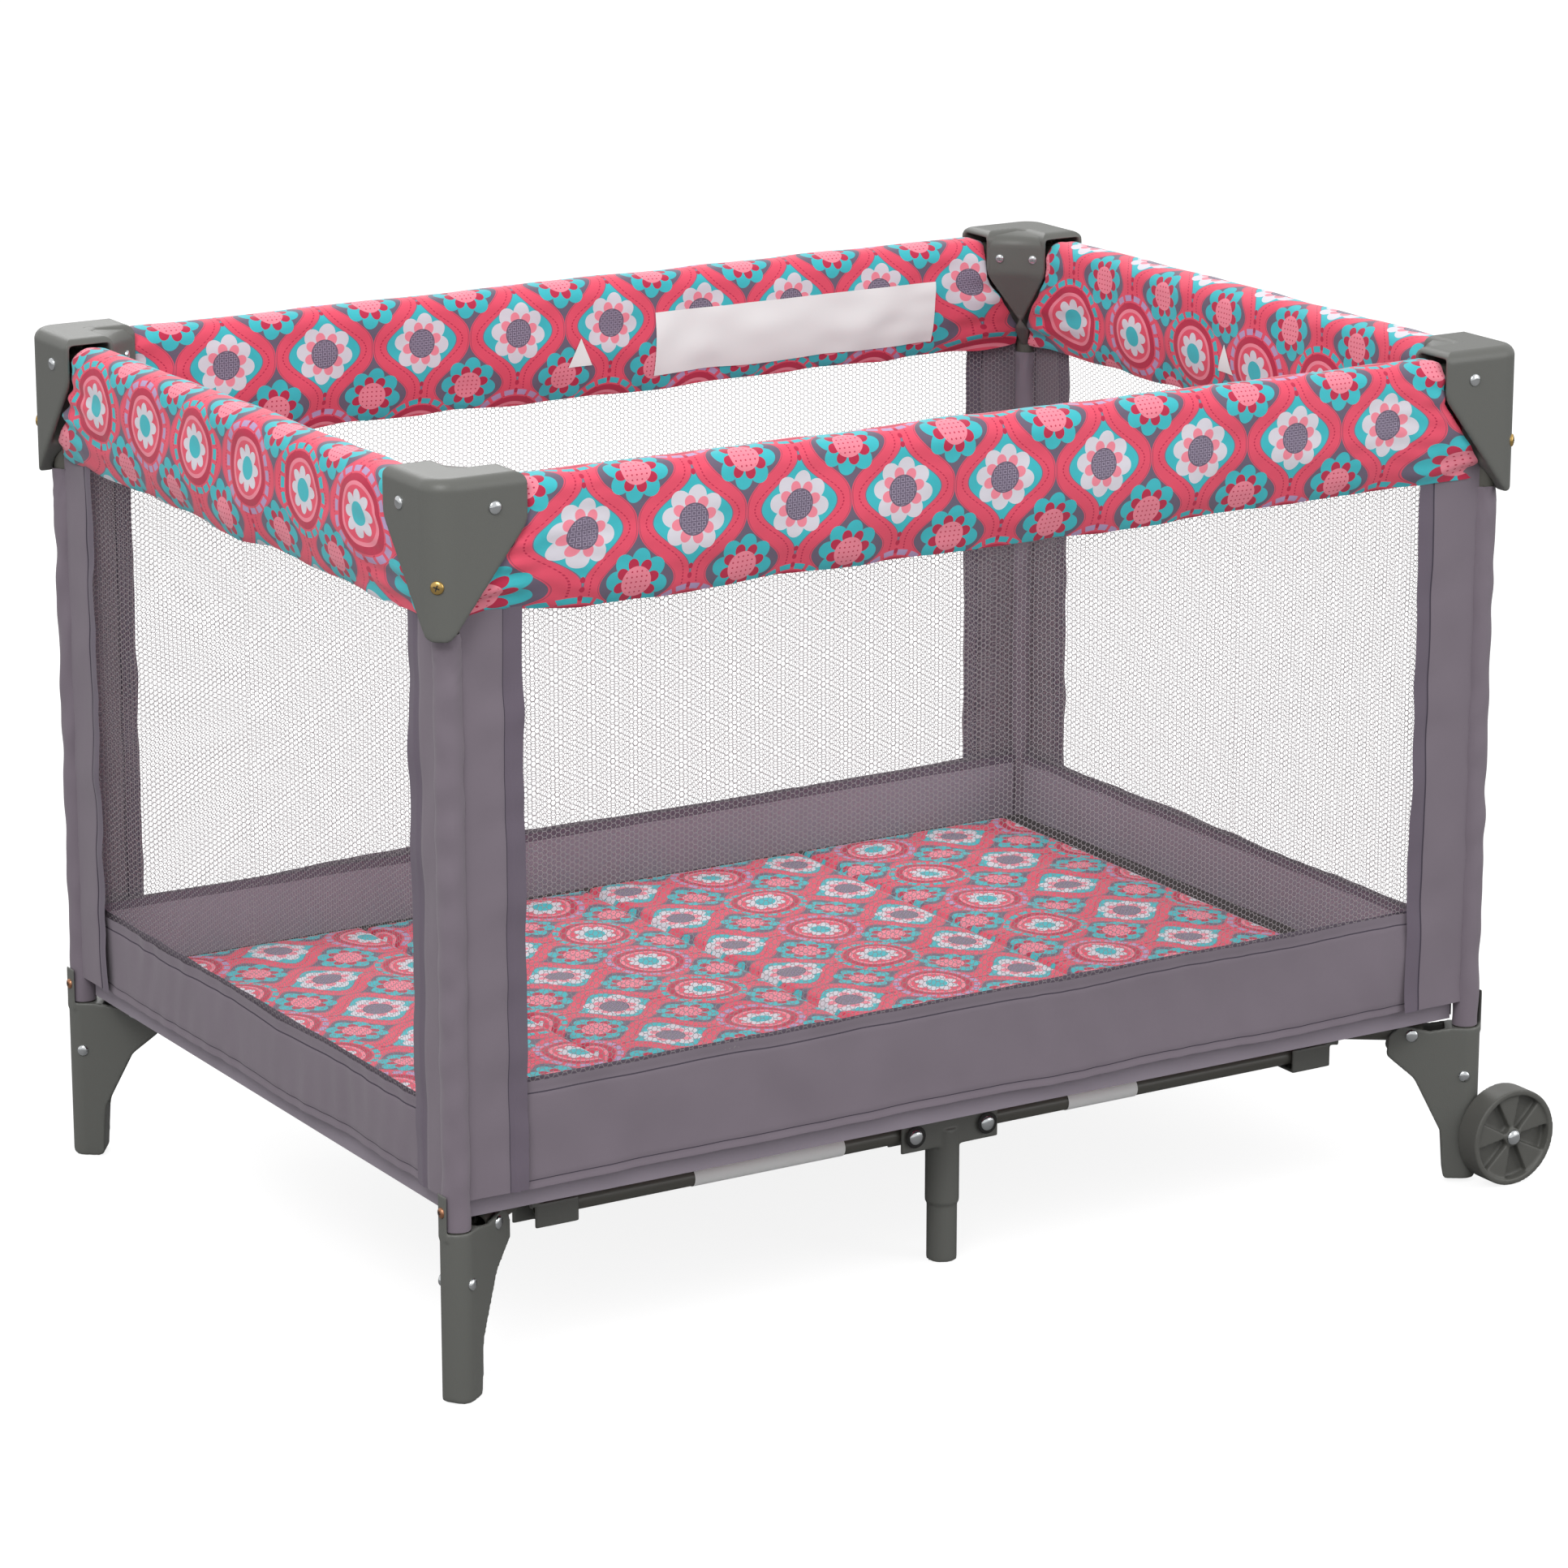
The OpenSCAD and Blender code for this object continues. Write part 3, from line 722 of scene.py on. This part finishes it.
def cover_uv(side, T, R):
    total = OUTLINE[2][-1]
    u0, level = PHASE[side.name]
    half_run = OUTLINE[2] < total / 2
    v0 = np.interp(level, OUTLINE[1][half_run], OUTLINE[2][half_run])
    base = R - v0 if side.name not in INNER_PRINT else total - v0 - R
    if side.name in ("left", "right"):
        base = base + 2 * ROW
    return np.stack([T - u0, base], -1)


def make_cover(side):
    for k, (a, b, body) in enumerate(((-side.reach, -side.pivot, "rail_" + side.rails[0]),
                                      (-side.pivot, side.pivot, "latch_" + side.name),
                                      (side.pivot, side.reach, "rail_" + side.rails[1]))):
        count = max(12, int((b - a) / 0.004))
        T, R = np.meshgrid(np.linspace(a, b, count), OUTLINE[2], indexing="ij")
        obj = sheet_mesh("cover_" + side.name + ("_a", "_mid", "_b")[k], cover_points(side, T, R),
                         cover_uv(side, T, R), [printed])
        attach(obj, body)
        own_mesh(obj)
        if k == 1:
            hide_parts("rail_cover_" + side.name)


for side in SIDES.values():
    make_cover(side)


# ---- Walls ----
# From the post's axis to a corner strip's inner edge; the strips that aren't named have the last value
STRIP_W = {"front_fl": 0.060, "front_fr": 0.070, "left_fl": 0.052, "left_bl": 0.063}
OTHER_STRIP_W = 0.062
BIND = 0.015  # binding on a strip's inner edge
TOP_BIND = 0.009  # folded hems of a skirt
LOW_BIND = 0.006
SEAM = 0.0010  # width of a line of stitches
WALL_TOP = HEM + 0.012  # the walls end inside the covers
PAD_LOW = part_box("mattress_panel_1")[0].z
# From the post's axis to the outer end of each sheet
NET_IN, SKIRT_IN, STRIP_IN = 0.012, 0.009, 0.007


def shrink(obj):
    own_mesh(obj)


def spaced(a, b, step, *seams):
    """Places from a to b about step apart, with a line of its own for each seam."""
    stops = sorted({a, b, *seams})
    parts = [np.linspace(p, q, max(2, int(round((q - p) / step)) + 1))[:-1]
             for p, q in zip(stops, stops[1:])]
    return np.concatenate(parts + [np.array([b])])


def wall_half(side, k, name, inward, heights, mats, shape, which=None):
    """Half of a wall: inward runs from the post's axis; shape gives the final inward, height and n."""
    I, Z = np.meshgrid(inward, heights, indexing="ij")
    marks = None
    if which is not None:
        mid_i, mid_z = (I[:-1, :-1] + I[1:, 1:]) / 2, (Z[:-1, :-1] + Z[1:, 1:]) / 2
        marks = which(mid_i, mid_z).astype(int).ravel()
    i, z, n = shape(I, Z)
    points = side.at((-1, 1)[k] * (side.half - i), n, z)
    return sheet_mesh(name, points, np.stack([I, Z], -1), mats, marks)


def make_wall(side, k):
    corner = side.corners[k]
    body = "corner_" + corner
    tag = side.name + "_" + corner
    seed = sum(map(ord, tag)) * 7
    end = side.half
    strip = STRIP_W.get(tag, OTHER_STRIP_W)

    def calm(I):
        """Ripples die out at mid side, where the two halves meet"""
        return np.clip((end - I) / 0.04, 0, 1)

    skirt_top = SKIRT_TOPS[side.name]
    net_low = skirt_top - 0.006

    def net_shape(I, Z):
        return I, Z, 0.0008 * calm(I) * waves(seed, I, Z, 0.2)

    mesh = wall_half(side, k, "net_" + tag, spaced(NET_IN, end, 0.02), spaced(net_low, WALL_TOP, 0.02), [net],
                     net_shape)
    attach(mesh, body)
    shrink(mesh)

    top_seam, low_seam = skirt_top - TOP_BIND, SKIRT_LOW + LOW_BIND

    def skirt_shape(I, Z):
        bound = (Z > top_seam + SEAM / 2) | (Z < low_seam - SEAM / 2)
        seam = (np.abs(Z - top_seam) < SEAM) | (np.abs(Z - low_seam) < SEAM)
        soft = 0.0011 * waves(seed + 1, I, Z, 0.12) + 0.0005 * waves(seed + 4, I, Z * 0.3, 0.03)
        sag = 0.0015 * waves(seed + 9, I, 0 * Z, 0.3)
        n = 0.0020 + soft * calm(I) + np.where(bound, 0.0005, 0) - np.where(seam, 0.0004, 0)
        return I, Z + sag * calm(I), n

    def skirt_marks(i, z):
        seam = ((z > top_seam - SEAM) & (z < top_seam)) | ((z > low_seam) & (z < low_seam + SEAM))
        return np.where(seam, 1, 0)

    heights = spaced(SKIRT_LOW, skirt_top, 0.004, low_seam, low_seam + SEAM, top_seam - SEAM, top_seam)
    skirt = wall_half(side, k, "skirt_" + tag, spaced(SKIRT_IN, end, 0.004), heights, [wall_cloth, stitch_mat],
                      skirt_shape, skirt_marks)
    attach(skirt, body)
    shrink(skirt)

    seam_i = strip - BIND

    def strip_shape(I, Z):
        part = np.clip((I - 0.02) / (strip - 0.02), 0, 1)
        wob = 0.0004 * waves(seed + 5, Z, 0 * Z, 0.09)
        bound = I > seam_i + SEAM / 2
        seam = np.abs(I - seam_i) < SEAM
        soft = 0.0010 * waves(seed + 2, I, Z, 0.08) * np.clip((I - STRIP_IN) / 0.02, 0.15, 1)
        soft = soft + 0.0005 * part * waves(seed + 6, Z, I, 0.045)
        return I + wob * part, Z, 0.0048 + soft + np.where(bound, 0.0012, 0) - np.where(seam, 0.0006, 0)

    def strip_marks(i, z):
        return np.where(i > seam_i, 1, 0) + np.where((i > seam_i - SEAM) & (i < seam_i), 2, 0)

    band = wall_half(side, k, "strip_" + tag, spaced(STRIP_IN, strip, 0.004, seam_i - SEAM, seam_i),
                     spaced(SKIRT_LOW, WALL_TOP, 0.0045), [wall_cloth, binding_cloth, stitch_mat], strip_shape,
                     strip_marks)
    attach(band, body)

    crest = skirt_top - 0.001
    rim = crest - 0.008

    def lining_shape(I, Z):
        part = (Z - PAD_LOW) / (crest - PAD_LOW)
        soft = 0.0014 * part * calm(I) * waves(seed + 8, I, Z * 0.4, 0.08)
        return I, Z, -0.0055 - soft * 0.6 - np.where(Z > rim + SEAM / 2, 0.0011, 0)

    def lining_marks(i, z):
        return np.where(z > rim, 1, 0)

    lining = wall_half(side, k, "lining_" + tag, spaced(NET_IN, end, 0.006), spaced(PAD_LOW, crest, 0.006, rim),
                       [lining_cloth, binding_cloth], lining_shape, lining_marks)
    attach(lining, body)
    shrink(lining)


for side in SIDES.values():
    for k in (0, 1):
        make_wall(side, k)

SLEEVE_R = 0.0108
SLEEVE_LOW = SKIRT_LOW - 0.022
for c in CORNERS:
    A, Z = grid(0, 2 * math.pi, 41, SLEEVE_LOW, BRACKET_LOW + 0.004, 140)
    seed = sum(map(ord, c))
    x, y = SLEEVE_R * np.cos(A), SLEEVE_R * np.sin(A)
    gather = np.exp(-(BRACKET_LOW - Z) / 0.02)
    bump = 0.0005 * waves(seed, A * 0.02, Z, 0.05) + 0.0007 * gather * waves(seed + 1, A * 0.02, Z, 0.016)
    grow = 1 + bump / SLEEVE_R
    points = np.stack([POST[c].x + x * grow, POST[c].y + y * grow, Z], -1)
    sleeve = sheet_mesh("sleeve_" + c, points, np.stack([A * SLEEVE_R, Z], -1), [wall_cloth])
    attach(sleeve, "corner_" + c)
    if c == "fl":
        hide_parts("tub_front_left")
    if c == "br":
        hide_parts("tub_back_right")

# ---- Floor cloth and mattress ----
FLOOR_Z = 0.1405  # the floor cloth lies on the floor tubes
for c, (sx, sy) in CORNERS.items():
    A, B = grid(0, 1, 40, 0, 1, 40)
    x = CENTRE_X + sx * A * (HALF_X - 0.001)
    y = sy * B * (HALF_Y - 0.001)
    rim = np.maximum(smoothstep(A * HALF_X, HALF_X - 0.07, HALF_X),
                     smoothstep(B * HALF_Y, HALF_Y - 0.07, HALF_Y))
    z = FLOOR_Z + (SKIRT_LOW + 0.002 - FLOOR_Z) * rim
    obj = sheet_mesh("floor_" + c, np.stack([x, y, z], -1), np.stack([A * HALF_X, B * HALF_Y], -1),
                     [floor_cloth])
    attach(obj, "floor_tube_" + c)
    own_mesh(obj)

PAD_R = 0.009  # rounding of the mattress panels' edges
for i in (1, 2, 3, 4):
    node = f"mattress_panel_{i}"
    low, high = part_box(node)
    U, V = grid(-1, 1, 56, -1, 1, 120)
    hx, hy = (high.x - low.x) / 2, (high.y - low.y) / 2
    cx, cy = (high.x + low.x) / 2, (high.y + low.y) / 2
    x = U * hx
    y = V * hy
    inset = np.minimum(hx - np.abs(x), hy - np.abs(y))
    drop = PAD_R - np.sqrt(np.clip(PAD_R * PAD_R - np.clip(PAD_R - inset, 0, PAD_R) ** 2, 0, None))
    soft = 0.0012 * waves(i, x, y, 0.09) * np.clip(inset / 0.03, 0, 1)
    crown = 0.0015 * np.clip(inset / 0.05, 0, 1)
    top = np.stack([cx + x, cy + y, high.z - drop - 0.0015 + crown + soft], -1)
    bottom = np.stack([cx + x, cy + y, low.z + drop * 0.6], -1)
    rows, cols = x.shape
    ids = np.arange(rows * cols).reshape(rows, cols)
    quads = np.stack([ids[:-1, :-1], ids[1:, :-1], ids[1:, 1:], ids[:-1, 1:]], -1).reshape(-1, 4)
    faces = quads.tolist() + (quads[:, ::-1] + rows * cols).tolist()
    ring = list(ids[:, 0]) + list(ids[-1, 1:]) + list(ids[::-1, -1][1:]) + list(ids[0, ::-1][1:-1])
    for a, b in zip(ring, ring[1:] + ring[:1]):
        faces.append((int(a), int(b), int(b) + rows * cols, int(a) + rows * cols))
    uv = np.stack([cy + y, cx + x - (CENTRE_X - HALF_X) - 0.07 + 2 * ROW], -1).reshape(-1, 2)
    verts = np.concatenate([top.reshape(-1, 3), bottom.reshape(-1, 3)])
    obj = piece(node + "_pad", verts, faces, [printed], np.concatenate([uv, uv]))
    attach(obj, f"mattress_{i}")
    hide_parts(node)

# ---- Blank labels on the covers and bars, and rivets in the mid feet ----


def run_at(z, inner):
    """Place along a cover's outline of height z on its outer or inner face"""
    _, heights, run = OUTLINE
    outer = run < run[-1] / 2
    r = np.interp(z, heights[outer], run[outer])
    return run[-1] - r if inner else r


def cover_patch(name, side, T, R, body):
    points = cover_points(side, T, R, 0.0008)
    obj = sheet_mesh(name, points, np.stack([T, R], -1), [label])
    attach(obj, body)
    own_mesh(obj)


for side in SIDES.values():
    A, B = grid(-1, 1, 9, 0, 1, 11)
    R = run_at(HEM + 0.030, True) - B * 0.025
    cover_patch("mark_" + side.name, side, A * 0.012 * (1 - B * 0.98), R, "latch_" + side.name)
T, Z = grid(0.077, 0.370, 90, 0.6255, 0.682, 20)
cover_patch("label_back", SIDES["back"], T, run_at(Z, True), "rail_back_right")

for corner, t0, t1 in (("fl", -0.238, -0.098), ("fr", 0.119, 0.188)):
    low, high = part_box("side_bar_" + corner)
    bar_y, bar_z = (low.y + high.y) / 2, (low.z + high.z) / 2
    r = (high.z - low.z) / 2 + 0.0005
    T, A = grid(CENTRE_X + t0, CENTRE_X + t1, 12, 0, 2 * math.pi, 29)
    points = np.stack([T, bar_y + r * np.cos(A), bar_z + r * np.sin(A)], -1)
    wrap = sheet_mesh("bar_label_" + corner, points, np.stack([T, A * r], -1), [label])
    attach(wrap, "side_bar_" + corner)

# Dark ring painted round each rivet head: painted shade standing in for the recess the rivet sits in.
PAINTED_SHADE_RING = [(0.0092, 0.0001), (0.0092, 0.0003), (0.006, 0.0003)]
HEAD = [(0.0066, -0.001), (0.0066, 0.0008), (0.0056, 0.0019), (0.0038, 0.0027), (0.0016, 0.0031)]
for end in ("front", "back"):
    low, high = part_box("mid_foot_" + end)
    bar_z = middle("side_bar_fl").z
    heads = []
    for x in (-0.0345, 0.0345):
        for y, out in ((low.y, -1), (high.y, 1)):
            place = (CENTRE_X + x, y, bar_z)
            heads.append(turned("ring", PAINTED_SHADE_RING, place, (0, out, 0), dark_gap))
            heads.append(turned("rivet", HEAD, place, (0, out, 0), chrome))
    obj = joined("mid_foot_rivets_" + end, heads)
    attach(obj, "mid_foot_" + end)

# ---- Camera, floor and light ----
camera = bpy.data.objects.new("camera", bpy.data.cameras.new("camera"))
bpy.context.scene.collection.objects.link(camera)
camera.data.lens = 127.2
camera.data.sensor_width = 36
camera.location = (-2.3613, -3.8396, 1.5841)
aim = Vector((-0.0243, -0.0268, 0.3447))
camera.rotation_euler = (aim - camera.location).to_track_quat("-Z", "Y").to_euler()
bpy.context.scene.camera = camera


def seen_directly(tree):
    """1 for what the camera sees straight, 0 for light falling on other things"""
    return Val(tree, tree.nodes.new("ShaderNodeLightPath").outputs["Is Camera Ray"])


ground, ground_tree, ground_shader = material("ground", "#8c8c8c", 0.9, spec=0.0)
ground_shader.inputs["Emission Color"].default_value = (1, 1, 1, 1)
ground_tree.links.new((seen_directly(ground_tree) * 0.86).socket, ground_shader.inputs["Emission Strength"])
GROUND_HALF, GROUND_Z = 9, -0.0005
ground_corners = [(x * GROUND_HALF, y * GROUND_HALF, GROUND_Z) for x, y in ((-1, -1), (1, -1), (1, 1), (-1, 1))]
plane = piece("ground", ground_corners, [(0, 1, 2, 3)], [ground], smooth=False)
plane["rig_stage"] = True


def area_light(name, place, size, power):
    """White lamp that points at the yard's middle"""
    lamp = bpy.data.lights.new(name, "AREA")
    lamp.shape, lamp.size, lamp.energy = "SQUARE", size, power
    obj = bpy.data.objects.new(name, lamp)
    bpy.context.scene.collection.objects.link(obj)
    obj.location = place
    obj.rotation_euler = (Vector((0, 0, 0.4)) - Vector(place)).to_track_quat("-Z", "Y").to_euler()
    obj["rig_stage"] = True


area_light("key", (-2.6, -2.2, 3.4), 1.8, 76)
area_light("fill", (2.8, -3.4, 2.2), 2.6, 38)
area_light("rim", (0.8, 3.4, 2.8), 2.4, 43)
world = bpy.data.worlds.new("studio")
world.use_nodes = True
background = world.node_tree.nodes["Background"]
background.inputs[0].default_value = (1, 1, 1, 1)
strength = seen_directly(world.node_tree) * 0.15 + 0.87
world.node_tree.links.new(strength.socket, background.inputs[1])
bpy.context.scene.world = world
bpy.context.scene.view_settings.view_transform = "Standard"
bpy.context.scene.view_settings.exposure = 0.0

low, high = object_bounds()
